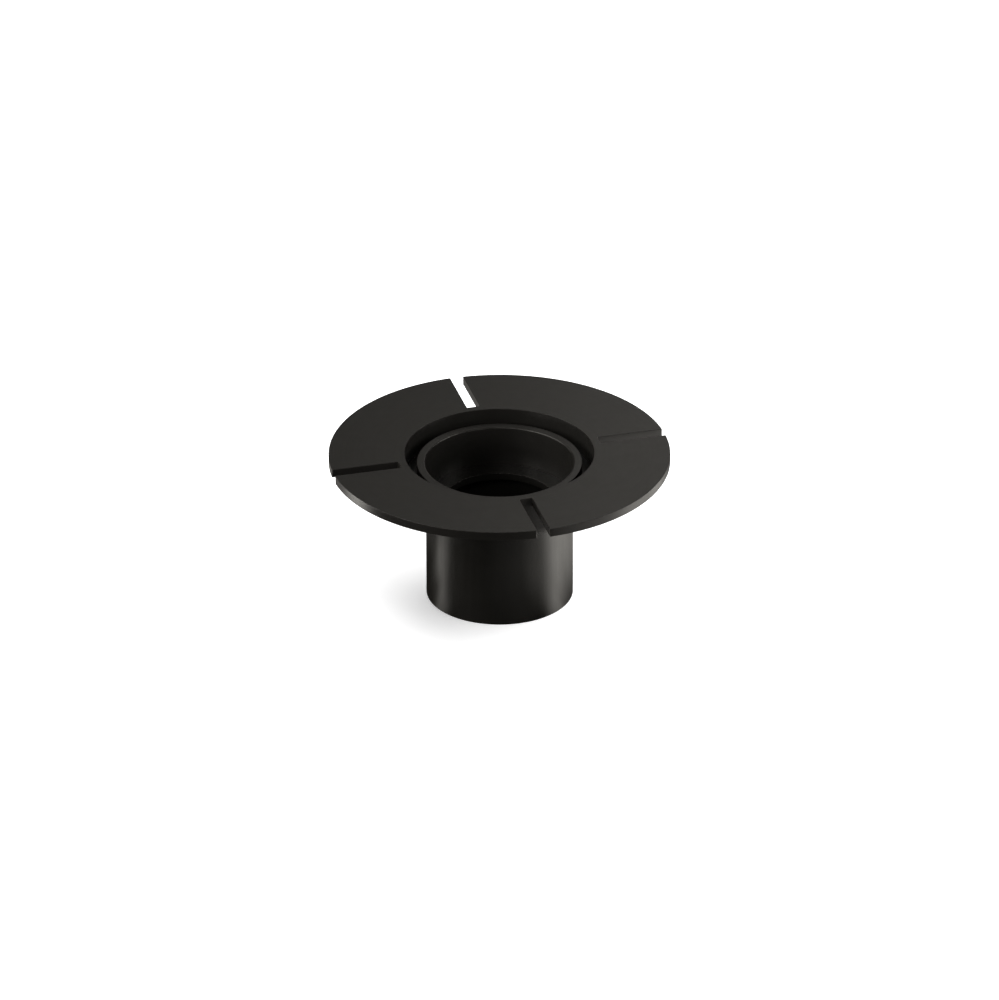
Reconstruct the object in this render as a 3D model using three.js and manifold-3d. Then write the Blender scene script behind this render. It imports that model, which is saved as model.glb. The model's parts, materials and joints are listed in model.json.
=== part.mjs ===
// Toilet (closet) flange for a 3 inch / 4 inch drain, in black ABS plastic.
//
// A slotted round plate carries a 4 inch throat. A web closes the bottom of the throat and
// leaves a round groove with a flat floor. A 3 inch hub stands up through the web, with a
// stop ledge at the bottom of its socket, and a 3 inch spigot pipe leaves from below it.
// The pieces are rings on one axis, cemented together: their seats touch, and a socket
// keeps a thin cement line round the piece inside it.
//
// Millimetres, +Z up. The origin is the centre of the spigot's lower end, where the fitting
// stands, and the four bolt slots lie along +X, +Y, -X and -Y.

import * as THREE from 'three';
import { mergeVertices } from 'three/addons/utils/BufferGeometryUtils.js';
import Module from 'manifold-3d';

const wasm = await Module();
wasm.setup();

// Driving dimensions
const PIPE_RADIUS_3_INCH = 88.9 / 2;     // outside of a 3 inch drain pipe
const PIPE_WALL = 5.5;
const PIPE_RADIUS_4_INCH = 114.3 / 2;    // outside of a 4 inch drain pipe
const OVERALL_HEIGHT = 94;
const PLATE_RADIUS = 103;
const PLATE_THICKNESS = 5.3;
const SLOT_WIDTH = 8;                    // takes a closet bolt of 1/4 or 5/16 inch
const SLOT_COUNT = 4;
const SLOT_END_RADIUS = 62;              // inner ends of the slots, just outside the collar
const COLLAR_WALL = 4.1;
const GROOVE_DEPTH = 16;                 // plate face down to the groove's flat floor
const HUB_RADIUS = 49.8;
const HUB_RIM_DEPTH = 6.25;              // plate face down to the hub's rim
const SOCKET_DEPTH = 25.25;              // hub rim down to the stop ledge
const STOP_HOLE_RADIUS = 33;
const STOP_RING_THICKNESS = 4.4;
const CEMENT_LINE = 0.3;                 // radial gap in a cemented socket

// Smaller sizes
const REBATE_DEPTH = 1.5;                // under the plate, for the collar's top end
const WEB_PLUG_HEIGHT = 3.5;             // part of the web inside the collar
const WEB_FLANGE_HEIGHT = 3;             // part of the web under the collar
const SOCKET_MOUTH_SLACK = 0.38;         // a socket tapers in towards its stop
const LIP_CHAMFER = 0.7;
const HUB_SKIRT_WALL = 1.25;             // lower end of the hub, round the pipe
const HUB_SKIRT_OVERLAP = 3.5;           // length of pipe held in the hub
const HUB_TAPER_HEIGHT = 3.5;
const SPIGOT_CHAMFER = 0.4;              // the saw edge, just broken
const SEGMENTS = 96;

// Levels and radii that follow from them
const plateBottom = OVERALL_HEIGHT - PLATE_THICKNESS;
const collarTop = plateBottom + REBATE_DEPTH;
const collarRadius = PIPE_RADIUS_4_INCH + COLLAR_WALL;
const grooveFloor = OVERALL_HEIGHT - GROOVE_DEPTH;
const collarBottom = grooveFloor - WEB_PLUG_HEIGHT;
const webBottom = collarBottom - WEB_FLANGE_HEIGHT;
const hubRim = OVERALL_HEIGHT - HUB_RIM_DEPTH;
const stopLedge = hubRim - SOCKET_DEPTH;
const hubBottom = stopLedge - HUB_SKIRT_OVERLAP;
const pipeBore = PIPE_RADIUS_3_INCH - PIPE_WALL;

const black = (name, color, roughness) =>
  new THREE.MeshStandardMaterial({ name, color, roughness, metalness: 0 });

// A closed ring turned from [radius, height] corners, with +Z as its axis.
// The corners run anticlockwise round the section, with the radius to the right.
function ringGeometry(corners) {
  const profile = [...corners, corners[0]].map(([radius, height]) => new THREE.Vector2(radius, height));
  const geometry = new THREE.LatheGeometry(profile, SEGMENTS);
  geometry.rotateX(Math.PI / 2);
  return geometry;
}

function weld(geometry) {
  const bare = geometry.index ? geometry.clone() : mergeVertices(geometry);
  bare.deleteAttribute('normal');
  bare.deleteAttribute('uv');
  return mergeVertices(bare, 1e-4);
}

function toSolid(geometry) {
  const welded = weld(geometry);
  return new wasm.Manifold(new wasm.Mesh({
    numProp: 3,
    vertProperties: new Float32Array(welded.attributes.position.array),
    triVerts: new Uint32Array(welded.index.array),
  }));
}

function fromSolid(solid) {
  const mesh = solid.getMesh();
  const geometry = new THREE.BufferGeometry();
  geometry.setAttribute('position', new THREE.BufferAttribute(new Float32Array(mesh.vertProperties), 3));
  geometry.setIndex(new THREE.BufferAttribute(new Uint32Array(mesh.triVerts), 1));
  geometry.computeVertexNormals();
  return geometry;
}

function ring(name, corners, material) {
  const mesh = new THREE.Mesh(ringGeometry(corners), material);
  mesh.name = name;
  return mesh;
}

// A bar that cuts one bolt slot, from its inner end out past the plate's rim.
function slotCutter(index) {
  const overrun = 5;
  const length = PLATE_RADIUS + overrun - SLOT_END_RADIUS;
  const bar = new THREE.BoxGeometry(length, SLOT_WIDTH, PLATE_THICKNESS + 2 * overrun);
  bar.translate(SLOT_END_RADIUS + length / 2, 0, plateBottom + PLATE_THICKNESS / 2);
  bar.rotateZ(index * 2 * Math.PI / SLOT_COUNT);
  return toSolid(bar);
}

// The plate: a flat ring with a rebate under its bore and four slots that open at its rim.
function flangePlate() {
  const rebateRadius = collarRadius + CEMENT_LINE;
  let solid = toSolid(ringGeometry([
    [PIPE_RADIUS_4_INCH, collarTop],
    [rebateRadius, collarTop],
    [rebateRadius, plateBottom],
    [PLATE_RADIUS, plateBottom],
    [PLATE_RADIUS, OVERALL_HEIGHT],
    [PIPE_RADIUS_4_INCH, OVERALL_HEIGHT],
  ]));
  for (let index = 0; index < SLOT_COUNT; index += 1) {
    solid = solid.subtract(slotCutter(index));
  }
  const mesh = new THREE.Mesh(fromSolid(solid), black('plate_abs', 0x161615, 0.42));
  mesh.name = 'flange_plate';
  return mesh;
}

// The 4 inch throat's wall, seated in the plate's rebate.
function throatCollar() {
  return ring('throat_collar', [
    [PIPE_RADIUS_4_INCH, collarBottom],
    [collarRadius, collarBottom],
    [collarRadius, collarTop],
    [PIPE_RADIUS_4_INCH, collarTop],
  ], black('collar_abs', 0x141413, 0.45));
}

// The web that closes the throat's lower end. It plugs into the collar and seats under it.
function grooveFloorWeb() {
  const boreRadius = HUB_RADIUS + CEMENT_LINE;
  const plugRadius = PIPE_RADIUS_4_INCH - CEMENT_LINE;
  return ring('groove_floor', [
    [boreRadius, webBottom],
    [collarRadius, webBottom],
    [collarRadius, collarBottom],
    [plugRadius, collarBottom],
    [plugRadius, grooveFloor],
    [boreRadius, grooveFloor],
  ], black('web_abs', 0x131312, 0.45));
}

// The 3 inch hub: a tapered socket above the stop ledge, and a short skirt round the pipe below.
function hubSleeve() {
  const mouthRadius = PIPE_RADIUS_3_INCH + SOCKET_MOUTH_SLACK;
  const skirtBore = PIPE_RADIUS_3_INCH + CEMENT_LINE;
  return ring('hub_sleeve', [
    [skirtBore, hubBottom],
    [skirtBore + HUB_SKIRT_WALL, hubBottom],
    [HUB_RADIUS, hubBottom + HUB_TAPER_HEIGHT],
    [HUB_RADIUS, hubRim],
    [mouthRadius + LIP_CHAMFER, hubRim],
    [mouthRadius, hubRim - LIP_CHAMFER],
    [PIPE_RADIUS_3_INCH, stopLedge],
    [skirtBore, stopLedge],
  ], black('hub_abs', 0x151514, 0.4));
}

// The ring in the pipe's mouth that narrows it. With the pipe's end it makes the stop ledge.
function stopRing() {
  const outerRadius = pipeBore - CEMENT_LINE;
  const lowerFace = stopLedge - STOP_RING_THICKNESS;
  return ring('stop_ring', [
    [STOP_HOLE_RADIUS, lowerFace],
    [outerRadius, lowerFace],
    [outerRadius, stopLedge],
    [STOP_HOLE_RADIUS, stopLedge],
  ], black('stop_abs', 0x121211, 0.45));
}

// The 3 inch spigot, a length of pipe with a small chamfer round its lower end.
function spigotPipe() {
  return ring('spigot_pipe', [
    [pipeBore, 0],
    [PIPE_RADIUS_3_INCH - SPIGOT_CHAMFER, 0],
    [PIPE_RADIUS_3_INCH, SPIGOT_CHAMFER],
    [PIPE_RADIUS_3_INCH, stopLedge],
    [pipeBore, stopLedge],
  ], black('pipe_abs', 0x171716, 0.34));
}

const group = new THREE.Group();
group.name = 'toilet_flange';
group.add(flangePlate());
group.add(throatCollar());
group.add(grooveFloorWeb());
group.add(hubSleeve());
group.add(stopRing());
group.add(spigotPipe());

export default group;
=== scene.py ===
"""A black ABS toilet flange on a pale floor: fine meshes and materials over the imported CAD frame."""
import json
import math

import bpy
from mathutils import Matrix, Quaternion, Vector

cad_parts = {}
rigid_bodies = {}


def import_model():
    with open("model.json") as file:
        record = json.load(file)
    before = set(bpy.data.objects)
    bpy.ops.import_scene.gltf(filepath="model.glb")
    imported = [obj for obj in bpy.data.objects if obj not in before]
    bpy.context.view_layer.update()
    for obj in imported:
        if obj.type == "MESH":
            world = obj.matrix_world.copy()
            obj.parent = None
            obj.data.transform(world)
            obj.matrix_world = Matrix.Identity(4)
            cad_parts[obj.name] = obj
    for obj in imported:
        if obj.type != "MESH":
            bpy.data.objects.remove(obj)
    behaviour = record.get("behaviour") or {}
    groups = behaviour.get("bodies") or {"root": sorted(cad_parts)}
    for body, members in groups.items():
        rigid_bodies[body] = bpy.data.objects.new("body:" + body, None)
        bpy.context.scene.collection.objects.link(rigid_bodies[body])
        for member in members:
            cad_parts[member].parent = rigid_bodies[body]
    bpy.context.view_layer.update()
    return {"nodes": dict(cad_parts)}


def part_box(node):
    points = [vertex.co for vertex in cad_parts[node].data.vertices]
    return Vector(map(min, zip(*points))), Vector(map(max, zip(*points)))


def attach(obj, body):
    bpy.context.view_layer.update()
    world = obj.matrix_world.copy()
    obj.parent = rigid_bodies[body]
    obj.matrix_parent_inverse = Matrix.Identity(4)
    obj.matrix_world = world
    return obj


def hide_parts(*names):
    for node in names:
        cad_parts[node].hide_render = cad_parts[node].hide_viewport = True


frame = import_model()

MM = 0.001
FULL_TURN = 2 * math.pi
TURN_STEPS = 360         # faces round each turned ring
ARC_STEPS = 6            # faces across each rounded edge
SUPPORT = 0.2 * MM       # a narrow flat strip beside each rounded edge, so that flats shade flat
SLOT_COUNT = 4
SLOT_WIDTH = 8 * MM
SLOT_END = 62 * MM       # distance of a slot's inner end from the axis
EDGE_ROUND = 0.15 * MM   # moulded edges
SLOT_END_ROUND = 0.7 * MM     # upright corners at a slot's inner end
SLOT_MOUTH_ROUND = 0.45 * MM  # upright corners where a slot opens at the rim; over EDGE_ROUND + SUPPORT
JOINT_ROUND = 0.06 * MM       # edges at the cemented joints and at the cut ends of the pipe
OVERLAP = 0.05 * MM           # how far a wall runs on past a seam that can be seen
SHARP_ANGLE = 40              # degrees; edges that turn more than this are not smoothed over


# ---------------------------------------------------------------- the frame's sizes

def node_radii(node):
    """The smallest and largest distance of a CAD node's corners from the axis."""
    distances = [v.co.xy.length for v in frame["nodes"][node].data.vertices]
    return min(distances), max(distances)


def node_levels(node):
    """The lowest and highest level of a CAD node."""
    low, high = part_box(node)
    return low.z, high.z


throat_radius, plate_radius = node_radii("flange_plate")
plate_bottom, plate_top = node_levels("flange_plate")
collar_radius = node_radii("throat_collar")[1]
collar_bottom, collar_top = node_levels("throat_collar")
web_bottom, groove_floor = node_levels("groove_floor")
hub_radius = node_radii("hub_sleeve")[1]
hub_bottom, hub_rim = node_levels("hub_sleeve")
stop_hole_radius, stop_ring_radius = node_radii("stop_ring")
stop_bottom, stop_ledge = node_levels("stop_ring")
pipe_bore, pipe_radius = node_radii("spigot_pipe")


# ---------------------------------------------------------------- mesh building

def arc_points(centre, radius, start, end, steps):
    """Points on an arc from angle start to angle end, both ends included."""
    points = []
    for step in range(steps + 1):
        angle = start + (end - start) * step / steps
        points.append(centre + radius * Vector((math.cos(angle), math.sin(angle))))
    return points


def rounded_section(corners):
    """A closed section from (radius, height, rounding) corners, as (point, wear) pairs.

    wear is 1 on a rounded outer edge and 0 elsewhere. A narrow strip runs along both sides of
    each arc. A corner with no rounding is one point.
    """
    section = []
    count = len(corners)
    for index, (x, y, rounding) in enumerate(corners):
        here = Vector((x, y))
        back = Vector(corners[index - 1][:2]) - here
        ahead = Vector(corners[(index + 1) % count][:2]) - here
        to_back, to_ahead = back.normalized(), ahead.normalized()
        if rounding == 0:
            section.append((here, 0))
            continue
        half_angle = to_back.angle(to_ahead) / 2
        reach = rounding / math.tan(half_angle)
        centre = here + (to_back + to_ahead).normalized() * rounding / math.sin(half_angle)
        first = here + to_back * reach - centre
        last = here + to_ahead * reach - centre
        turn = -first.angle_signed(last)
        start = math.atan2(first.y, first.x)
        wear = 1 if turn > 0 else 0
        section.append((here + to_back * (reach + SUPPORT), 0))
        for point in arc_points(centre, rounding, start, start + turn, ARC_STEPS):
            section.append((point, wear))
        section.append((here + to_ahead * (reach + SUPPORT), 0))
    return section


def make_piece(name, node, vertices, faces, wear, material):
    """A smooth mesh piece that stands for one CAD node and rides on the root body."""
    mesh = bpy.data.meshes.new(name)
    mesh.from_pydata(vertices, [], faces)
    mesh.validate()
    attribute = mesh.attributes.new("edge_wear", "FLOAT", "POINT")
    attribute.data.foreach_set("value", wear)
    mesh.shade_smooth()
    mesh.set_sharp_from_angle(angle=math.radians(SHARP_ANGLE))
    mesh.materials.append(material)
    piece = bpy.data.objects.new(name, mesh)
    bpy.context.scene.collection.objects.link(piece)
    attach(piece, "root")
    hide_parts(node)
    return piece


def turned_ring(name, node, corners, material):
    """A ring turned from a section whose corners run anticlockwise, radius to the right."""
    section = rounded_section(corners)
    count = len(section)
    vertices, wear, faces = [], [], []
    for step in range(TURN_STEPS):
        angle = FULL_TURN * step / TURN_STEPS
        across = Vector((math.cos(angle), math.sin(angle), 0))
        for point, worn in section:
            vertices.append(across * point.x + Vector((0, 0, point.y)))
            wear.append(worn)
    for step in range(TURN_STEPS):
        this, following = step * count, (step + 1) % TURN_STEPS * count
        for index in range(count):
            after = (index + 1) % count
            faces.append((this + index, following + index, following + after, this + after))
    return make_piece(name, node, vertices, faces, wear, material)


# ---------------------------------------------------------------- the slotted plate

def slotted_outline(inset):
    """The plate's outline with its four open slots, moved inwards by inset, anticlockwise."""
    half = SLOT_WIDTH / 2
    rim_steps = 72           # faces along a quarter of the rim
    # A quarter turn, from the slot along +X to the slot along +Y. First the slot's inner corner
    # and its mouth's corner, then the rim, then the same two corners of the next slot, mirrored.
    end_centre = Vector((SLOT_END + SLOT_END_ROUND, half - SLOT_END_ROUND))
    mouth_y = half + SLOT_MOUTH_ROUND
    mouth_x = math.sqrt((plate_radius - SLOT_MOUTH_ROUND) ** 2 - mouth_y ** 2)
    mouth_angle = math.atan2(mouth_y, mouth_x)
    corners = arc_points(end_centre, SLOT_END_ROUND + inset, math.pi, math.pi / 2, ARC_STEPS)
    corners += arc_points(Vector((mouth_x, mouth_y)), SLOT_MOUTH_ROUND - inset,
                          -math.pi / 2, mouth_angle, ARC_STEPS)
    rim = arc_points(Vector((0, 0)), plate_radius - inset,
                     mouth_angle, math.pi / 2 - mouth_angle, rim_steps)
    quarter = corners + rim[1:-1] + [Vector((p.y, p.x)) for p in reversed(corners)]
    outline = []
    for index in range(SLOT_COUNT):
        turn = Matrix.Rotation(index * FULL_TURN / SLOT_COUNT, 2)
        outline += [turn @ point for point in quarter]
    return outline


def circle(radius, steps):
    return [Vector((math.cos(a), math.sin(a))) * radius
            for a in (FULL_TURN * step / steps for step in range(steps))]


def plate_mesh():
    """Vertices, faces and wear of the plate.

    Strips join one loop of points to the next, from the slotted outline's inner bottom edge,
    round its rounded edge and wall to the top, and the same way down the bore. Each flat face
    is four many-sided faces between the outline and the bore.
    """
    vertices, wear, faces = [], [], []

    def add_loop(points, height, worn):
        first = len(vertices)
        vertices.extend((p.x, p.y, height) for p in points)
        wear.extend([worn] * len(points))
        return list(range(first, first + len(points)))

    def join(lower, upper):
        for index in range(len(lower)):
            after = (index + 1) % len(lower)
            faces.append((lower[index], lower[after], upper[after], upper[index]))

    # A rounded edge's points, from the flat to the wall: in from the wall, and away from the flat
    edge = []
    for step in range(ARC_STEPS + 1):
        angle = math.pi / 2 * step / ARC_STEPS
        edge.append((EDGE_ROUND * (1 - math.sin(angle)), EDGE_ROUND * (1 - math.cos(angle))))

    # The outside: bottom flat, rounding, wall, rounding, top flat
    outside = [(EDGE_ROUND + SUPPORT, plate_bottom, 0)]
    outside += [(inwards, plate_bottom + away, 1) for inwards, away in edge]
    outside.append((0, plate_bottom + EDGE_ROUND + SUPPORT, 0))
    outside.append((0, plate_top - EDGE_ROUND - SUPPORT, 0))
    outside += [(inwards, plate_top - away, 1) for inwards, away in reversed(edge)]
    outside.append((EDGE_ROUND + SUPPORT, plate_top, 0))
    loops = [add_loop(slotted_outline(inset), height, worn) for inset, height, worn in outside]
    for lower, upper in zip(loops, loops[1:]):
        join(lower, upper)

    # The bore: from the top flat down past the rebate that the collar sits in
    inside = [(throat_radius + EDGE_ROUND + SUPPORT, plate_top, 0)]
    inside += [(throat_radius + inwards, plate_top - away, 1) for inwards, away in edge]
    inside.append((throat_radius, plate_top - EDGE_ROUND - SUPPORT, 0))
    inside.append((throat_radius, collar_top, 0))
    inside.append((collar_radius, collar_top, 0))
    inside.append((collar_radius, plate_bottom, 0))
    rounds = [add_loop(circle(radius, TURN_STEPS), height, worn) for radius, height, worn in inside]
    for upper, lower in zip(rounds, rounds[1:]):
        join(upper, lower)

    # The two flats, a quarter at a time
    outline_quarter = len(loops[0]) // SLOT_COUNT
    bore_quarter = TURN_STEPS // SLOT_COUNT
    for index in range(SLOT_COUNT):
        out = [(index * outline_quarter + k) % len(loops[0]) for k in range(outline_quarter + 1)]
        bore = [(index * bore_quarter + k) % TURN_STEPS for k in range(bore_quarter + 1)]
        faces.append([loops[-1][k] for k in out] + [rounds[0][k] for k in reversed(bore)])
        faces.append([loops[0][k] for k in reversed(out)] + [rounds[-1][k] for k in bore])
    return vertices, faces, wear


# ---------------------------------------------------------------- materials

# Noise scales, all per metre
CLOUDS = 22
PATCHES = 140
PORES = 2600
ROUND_MARKS = 900
LENGTHWISE_MARKS = 700
LENGTHWISE_STRETCH = 0.02    # the marks' height, squeezed by this, so that they run along the pipe
RELIEF = 0.02 * MM           # depth of the grain and the marks


def add_node(tree, kind, settings=None, **inputs):
    """A shader node with its inputs set from values or linked from sockets. _0 names input 0."""
    made = tree.nodes.new(kind)
    for key, value in (settings or {}).items():
        setattr(made, key, value)
    for key, value in inputs.items():
        socket = made.inputs[int(key[1:])] if key[0] == "_" else made.inputs[key.replace("_", " ")]
        if isinstance(value, bpy.types.NodeSocket):
            tree.links.new(value, socket)
        else:
            socket.default_value = value
    return made


def maths(tree, operation, first, second=0.0):
    made = add_node(tree, "ShaderNodeMath", {"operation": operation}, _0=first, _1=second)
    return made.outputs[0]


def noise(tree, vector, scale, detail=2.0):
    made = add_node(tree, "ShaderNodeTexNoise", Vector=vector, Scale=scale, Detail=detail, Roughness=0.55)
    return made.outputs["Fac"]


def spread(tree, value, low, high, start=0.3, end=0.7):
    """Maps a noise value's useful range, start to end, to low to high."""
    made = add_node(tree, "ShaderNodeMapRange", Value=value,
                    From_Min=start, From_Max=end, To_Min=low, To_Max=high)
    return made.outputs["Result"]


def blend(tree, factor, first, second):
    """A mix of two colours."""
    made = add_node(tree, "ShaderNodeMix", {"data_type": "RGBA"}, _0=factor, _6=first, _7=second)
    return made.outputs[2]


def tool_marks(tree, place, direction):
    """A fine noise drawn out along the direction the plastic was worked in."""
    parts = add_node(tree, "ShaderNodeSeparateXYZ", Vector=place)
    x, y, z = parts.outputs
    if direction == "lengthwise":
        squeezed = maths(tree, "MULTIPLY", z, LENGTHWISE_STRETCH)
        drawn = add_node(tree, "ShaderNodeCombineXYZ", X=x, Y=y, Z=squeezed)
        return noise(tree, drawn.outputs[0], LENGTHWISE_MARKS)
    flat = add_node(tree, "ShaderNodeCombineXYZ", X=x, Y=y)
    radius = add_node(tree, "ShaderNodeVectorMath", {"operation": "LENGTH"}, _0=flat.outputs[0])
    drawn = add_node(tree, "ShaderNodeCombineXYZ", X=radius.outputs["Value"], Y=z)
    return noise(tree, drawn.outputs[0], ROUND_MARKS)


def black_abs(name, colour, roughness, direction, marks, grain):
    """Satin black ABS: mottled sheen, moulded grain, tool marks and paler, duller worn edges."""
    material = bpy.data.materials.new(name)
    material.use_nodes = True
    tree = material.node_tree
    shader = tree.nodes["Principled BSDF"]
    shader.inputs["IOR"].default_value = 1.5
    place = add_node(tree, "ShaderNodeTexCoord").outputs["Object"]

    clouds = noise(tree, place, CLOUDS, 3)
    patches = noise(tree, place, PATCHES, 4)
    lines = tool_marks(tree, place, direction)
    pores = noise(tree, place, PORES, 1)

    # Wear follows the rounded edges and is broken up by the patches
    edges = add_node(tree, "ShaderNodeAttribute", {"attribute_name": "edge_wear"}).outputs["Fac"]
    wear = maths(tree, "MULTIPLY", edges, spread(tree, patches, 0, 1, 0.42, 0.66))

    deep = (*(c * 0.85 for c in colour), 1)
    pale = (*(c * 1.2 for c in colour), 1)
    rubbed = (*(c * 1.8 for c in colour), 1)
    body = blend(tree, spread(tree, clouds, 0, 1), deep, pale)
    finished = blend(tree, maths(tree, "MULTIPLY", wear, 0.7), body, rubbed)
    tree.links.new(finished, shader.inputs["Base Color"])

    sheen = maths(tree, "ADD", spread(tree, clouds, -0.02, 0.02), spread(tree, patches, -0.015, 0.015))
    sheen = maths(tree, "ADD", sheen, spread(tree, lines, -0.02 * marks, 0.02 * marks))
    sheen = maths(tree, "ADD", sheen, maths(tree, "MULTIPLY", wear, 0.08))
    tree.links.new(maths(tree, "ADD", sheen, roughness), shader.inputs["Roughness"])

    grained = maths(tree, "MULTIPLY", pores, grain)
    marked = maths(tree, "MULTIPLY", lines, marks)
    height = maths(tree, "ADD", grained, marked)
    height = maths(tree, "ADD", height, maths(tree, "MULTIPLY", patches, 2.0))
    relief = add_node(tree, "ShaderNodeBump", Strength=0.5, Distance=RELIEF, Height=height)
    tree.links.new(relief.outputs["Normal"], shader.inputs["Normal"])
    return material


WARM_BLACK = (0.0105, 0.0100, 0.0092)
plate_abs = black_abs("plate_abs", WARM_BLACK, 0.35, "round", marks=0.6, grain=1.0)
socket_abs = black_abs("socket_abs", WARM_BLACK, 0.36, "round", marks=1.2, grain=0.8)
pipe_abs = black_abs("pipe_abs", WARM_BLACK, 0.34, "lengthwise", marks=1.5, grain=0.5)


# ---------------------------------------------------------------- the pieces

def flange_plate():
    vertices, faces, wear = plate_mesh()
    return make_piece("flange_plate_fine", "flange_plate", vertices, faces, wear, plate_abs)


def throat_collar():
    corners = [
        (throat_radius, collar_bottom, 0),
        (collar_radius, collar_bottom, JOINT_ROUND),
        (collar_radius, collar_top, 0),
        (throat_radius, collar_top, 0),
    ]
    return turned_ring("throat_collar_fine", "throat_collar", corners, socket_abs)


def groove_floor_web():
    corners = [
        (hub_radius, web_bottom, JOINT_ROUND),
        (collar_radius, web_bottom, JOINT_ROUND),
        (collar_radius, collar_bottom, JOINT_ROUND),
        (throat_radius, collar_bottom, 0),
        (throat_radius, groove_floor, 0),
        (hub_radius, groove_floor, 0),
    ]
    return turned_ring("groove_floor_fine", "groove_floor", corners, socket_abs)


def hub_sleeve():
    lip_round = 0.8 * MM
    mouth_slack = 0.38 * MM      # the socket is wider at its mouth than at its ledge
    skirt_wall = 1.55 * MM       # round the pipe, below the socket
    taper_height = 3.5 * MM
    corners = [
        (pipe_radius, hub_bottom, JOINT_ROUND),
        (pipe_radius + skirt_wall, hub_bottom, JOINT_ROUND),
        (hub_radius, hub_bottom + taper_height, EDGE_ROUND),
        (hub_radius, hub_rim, EDGE_ROUND),
        (pipe_radius + mouth_slack, hub_rim, lip_round),
        (pipe_radius - OVERLAP, stop_ledge - OVERLAP, 0),
    ]
    return turned_ring("hub_sleeve_fine", "hub_sleeve", corners, socket_abs)


def stop_ring():
    corners = [
        (stop_hole_radius, stop_bottom, EDGE_ROUND),
        (pipe_bore, stop_bottom, 0),
        (pipe_bore, stop_ledge - OVERLAP, 0),
        (pipe_bore - OVERLAP, stop_ledge, 0),
        (stop_hole_radius, stop_ledge, EDGE_ROUND),
    ]
    return turned_ring("stop_ring_fine", "stop_ring", corners, socket_abs)


def spigot_pipe():
    corners = [
        (pipe_bore, 0, JOINT_ROUND),
        (pipe_radius, 0, JOINT_ROUND),
        (pipe_radius, stop_ledge, 0),
        (pipe_bore, stop_ledge, 0),
    ]
    return turned_ring("spigot_pipe_fine", "spigot_pipe", corners, pipe_abs)


flange_plate()
throat_collar()
groove_floor_web()
hub_sleeve()
stop_ring()
spigot_pipe()


# ---------------------------------------------------------------- floor, light and camera

CAMERA_AZIMUTH = -14.7       # degrees round from the view along +Y
CAMERA_ELEVATION = 27.8
CAMERA_ROLL = -0.13
CAMERA_DISTANCE = 5.974
CAMERA_TARGET = 0.06156      # height above the floor
CAMERA_LENS = 356.16         # millimetres
CAMERA_SENSOR = 36           # millimetres
CAMERA_REACH = 100           # metres that the camera sees
LIGHT_DISTANCE = 1.0
LIGHT_TARGET = 0.06          # height above the floor
WARM = (1, 0.965, 0.9)
FLOOR_RADIUS = 12
FLOOR_GREY = 0.8
FLOOR_GLOW = 0.49
FLOOR_KEY = 8.5              # strength of the floor's own lamp
FLOOR_KEY_AZIMUTH = 120
FLOOR_KEY_ELEVATION = 55
FLOOR_KEY_SPREAD = 125       # degrees across, which makes its shadows very soft
SHADE_GREY = 0.003
SHADE_GAP = 0.1 * MM         # the bore shade's height, and how far it runs on past the bore
CARD_DEPTH = 0.5 * MM        # the cards lie at least this far below the floor
CARD_STEP = 0.05 * MM        # each card lies this far below the one made before it
DISC_STEPS = 96
CARD_STEPS = 64


def direction(azimuth, elevation):
    """The way out from the object. Azimuth is in degrees from the camera's side, to its right."""
    around = math.radians(CAMERA_AZIMUTH + azimuth)
    up = math.radians(elevation)
    return Vector((math.sin(around) * math.cos(up), -math.cos(around) * math.cos(up), math.sin(up)))


def make_camera():
    back = direction(0, CAMERA_ELEVATION)
    data = bpy.data.cameras.new("camera")
    data.sensor_width = CAMERA_SENSOR
    data.lens = CAMERA_LENS
    data.clip_end = CAMERA_REACH
    camera = bpy.data.objects.new("camera", data)
    bpy.context.scene.collection.objects.link(camera)
    camera.location = Vector((0, 0, CAMERA_TARGET)) + back * CAMERA_DISTANCE
    camera.rotation_mode = "QUATERNION"
    level = (-back).to_track_quat("-Z", "Y")
    camera.rotation_quaternion = level @ Quaternion((0, 0, 1), math.radians(CAMERA_ROLL))
    bpy.context.scene.camera = camera


def softbox(name, azimuth, elevation, width, height, radiance):
    """A rectangular lamp that faces the object, hidden from the camera. Radiance 1 looks white."""
    data = bpy.data.lights.new(name, "AREA")
    data.shape = "RECTANGLE"
    data.size, data.size_y = width, height
    data.energy = math.pi * width * height * radiance
    data.color = WARM
    lamp = bpy.data.objects.new(name, data)
    bpy.context.scene.collection.objects.link(lamp)
    out = direction(azimuth, elevation)
    lamp.location = Vector((0, 0, LIGHT_TARGET)) + out * LIGHT_DISTANCE
    lamp.rotation_mode = "QUATERNION"
    lamp.rotation_quaternion = out.to_track_quat("Z", "Y")
    lamp.visible_camera = False
    return lamp


def stage_disc(name, radius, height, steps, material):
    """A flat round disc that belongs to the studio."""
    mesh = bpy.data.meshes.new(name)
    mesh.from_pydata([(p.x, p.y, height) for p in circle(radius, steps)], [], [range(steps)])
    mesh.materials.append(material)
    disc = bpy.data.objects.new(name, mesh)
    bpy.context.scene.collection.objects.link(disc)
    disc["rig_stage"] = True
    return disc


def matt(name, grey):
    """A dull grey material."""
    material = bpy.data.materials.new(name)
    material.use_nodes = True
    shader = material.node_tree.nodes["Principled BSDF"]
    shader.inputs["Base Color"].default_value = (grey, grey, grey, 1)
    shader.inputs["Roughness"].default_value = 1
    shader.inputs["Specular IOR Level"].default_value = 0
    return material


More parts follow.
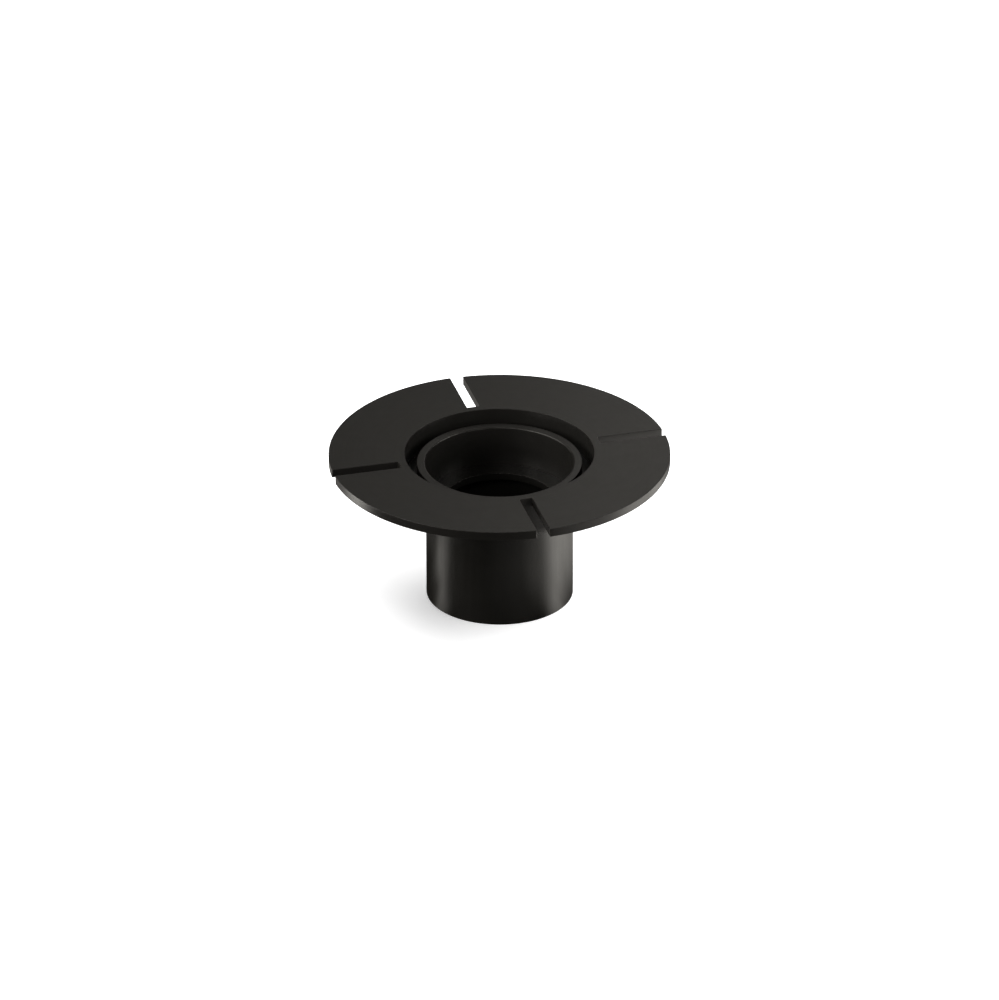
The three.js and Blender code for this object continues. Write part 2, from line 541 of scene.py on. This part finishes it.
def floor_card(name, azimuth, distance, radii, turn, radiance, edge):
    """A clear card with a soft-edged glow, flat just under the floor, that shines on the object only.

    Its first radius runs outwards from the object along azimuth plus turn. The glow fades over
    the outer part of the card, from its rim inwards by edge.
    """
    material = bpy.data.materials.new(name)
    material.use_nodes = True
    tree = material.node_tree
    tree.nodes.clear()
    place = add_node(tree, "ShaderNodeTexCoord").outputs["Object"]
    fall = add_node(tree, "ShaderNodeTexGradient", {"gradient_type": "SPHERICAL"}, Vector=place)
    soft = add_node(tree, "ShaderNodeMapRange", {"interpolation_type": "SMOOTHSTEP"},
                    Value=fall.outputs["Fac"], From_Min=0, From_Max=edge, To_Min=0, To_Max=radiance)
    glow = add_node(tree, "ShaderNodeEmission", Color=(*WARM, 1), Strength=soft.outputs["Result"])
    clear = add_node(tree, "ShaderNodeBsdfTransparent")
    both = add_node(tree, "ShaderNodeAddShader", _0=glow.outputs[0], _1=clear.outputs[0])
    add_node(tree, "ShaderNodeOutputMaterial", Surface=both.outputs[0])
    card = stage_disc(name, 1, 0, CARD_STEPS, material)
    # No two cards share a plane, because each one adds to the number of objects
    level = -CARD_DEPTH - CARD_STEP * len(bpy.data.objects)
    card.location = direction(azimuth, 0) * distance + Vector((0, 0, level))
    card.rotation_euler.z = math.radians(CAMERA_AZIMUTH + azimuth + turn - 90)
    card.scale = (*radii, 1)
    card.visible_camera = False
    return card


def make_floor():
    """A white floor that only the camera sees, with a glow that keeps its shadows pale."""
    material = matt("floor", FLOOR_GREY)
    shader = material.node_tree.nodes["Principled BSDF"]
    shader.inputs["Emission Color"].default_value = (1, 1, 1, 1)
    shader.inputs["Emission Strength"].default_value = FLOOR_GLOW
    floor = stage_disc("floor", FLOOR_RADIUS, 0, DISC_STEPS, material)
    for ray in ("diffuse", "glossy", "transmission", "volume_scatter", "shadow"):
        setattr(floor, "visible_" + ray, False)
    return floor


def make_floor_key():
    """The floor's lamp: a very wide soft light from the right and behind."""
    data = bpy.data.lights.new("floor_key", "SUN")
    data.energy = FLOOR_KEY
    data.angle = math.radians(FLOOR_KEY_SPREAD)
    lamp = bpy.data.objects.new("floor_key", data)
    bpy.context.scene.collection.objects.link(lamp)
    lamp.rotation_mode = "QUATERNION"
    out = direction(FLOOR_KEY_AZIMUTH, FLOOR_KEY_ELEVATION)
    lamp.rotation_quaternion = out.to_track_quat("Z", "Y")
    return lamp


def make_bore_shade():
    """A black disc in the spigot's mouth, where the floor lies in the pipe's own shadow."""
    material = matt("bore_shade", SHADE_GREY)
    stage_disc("bore_shade", pipe_bore + SHADE_GAP, SHADE_GAP, DISC_STEPS, material)


def light_only(lamps, objects, name):
    """Makes lamps shine on these objects only."""
    group = bpy.data.collections.new(name)
    for each in objects:
        group.objects.link(each)
    for lamp in lamps:
        lamp.light_linking.receiver_collection = group


def make_world():
    """A white surrounding that only the camera sees."""
    world = bpy.data.worlds.new("studio")
    bpy.context.scene.world = world
    world.use_nodes = True
    world.node_tree.nodes["Background"].inputs["Color"].default_value = (1, 1, 1, 1)
    for ray in ("diffuse", "glossy", "transmission", "scatter"):
        setattr(world.cycles_visibility, ray, False)


make_camera()
floor = make_floor()
make_bore_shade()
pieces = [o for o in bpy.context.scene.objects if o.type == "MESH" and not o.get("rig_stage")]

# Each softbox: azimuth, elevation, width, height and radiance
boxes = [
    softbox("left_box", -90, 18, 0.6, 0.4, 3.0),
    softbox("middle_left_box", -90, 34, 0.6, 0.4, 1.7),
    softbox("high_left_box", -105, 45, 0.8, 0.6, 1.3),
    softbox("front_left_box", -54, 21, 0.4, 0.34, 10.6),
    softbox("front_box", -15, 45, 0.36, 0.3, 4.2),
    softbox("low_front_box", 30, 6, 0.36, 0.3, 3.6),
    softbox("right_box", 90, 18, 0.6, 0.4, 5.2),
    softbox("high_right_box", 75, 30, 0.36, 0.3, 1.8),
    softbox("low_back_box", 165, 18, 0.36, 0.3, 0.65),
    softbox("back_box", 180, 30, 0.36, 0.3, 0.36),
    softbox("high_back_box", 165, 45, 0.36, 0.3, 0.72),
]
# Each card: azimuth, distance, its two radii, turn, radiance and the width of its soft edge
cards = [
    floor_card("right_card", 85, 0.2, (0.17, 0.09), 0, 2.95, 0.8),
    floor_card("near_right_card", 75, 0.09, (0.06, 0.03), 24, 1.46, 0.8),
    floor_card("foot_right_card", 60, 0.055, (0.03, 0.012), 30, 1.05, 0.8),
    floor_card("far_right_card", 60, 0.35, (0.26, 0.21), 0, 0.92, 0.7),
    floor_card("rim_right_card", 108, 0.32, (0.10, 0.08), 0, 7.0, 0.8),
    floor_card("front_right_card", 45, 0.11, (0.042, 0.033), 0, 0.67, 0.9),
    floor_card("back_right_card", 120, 0.16, (0.12, 0.096), 0, 0.8, 0.7),
    floor_card("front_card", 15, 0.16, (0.12, 0.096), 0, 0.13, 0.7),
    floor_card("left_card", -86, 0.12, (0.055, 0.028), -12, 1.8, 0.65),
    floor_card("near_left_card", -74, 0.076, (0.03, 0.011), -12, 1.08, 0.75),
    floor_card("foot_left_card", -63, 0.057, (0.026, 0.011), -25, 0.72, 0.8),
    floor_card("rim_left_card", -92, 0.28, (0.07, 0.07), 0, 8.6, 0.8),
    floor_card("back_left_card", -135, 0.32, (0.25, 0.2), 0, 0.52, 0.7),
]
light_only(boxes + cards, pieces, "object_only")
light_only([make_floor_key()], [floor], "floor_only")

make_world()
bpy.context.scene.view_settings.view_transform = "Standard"
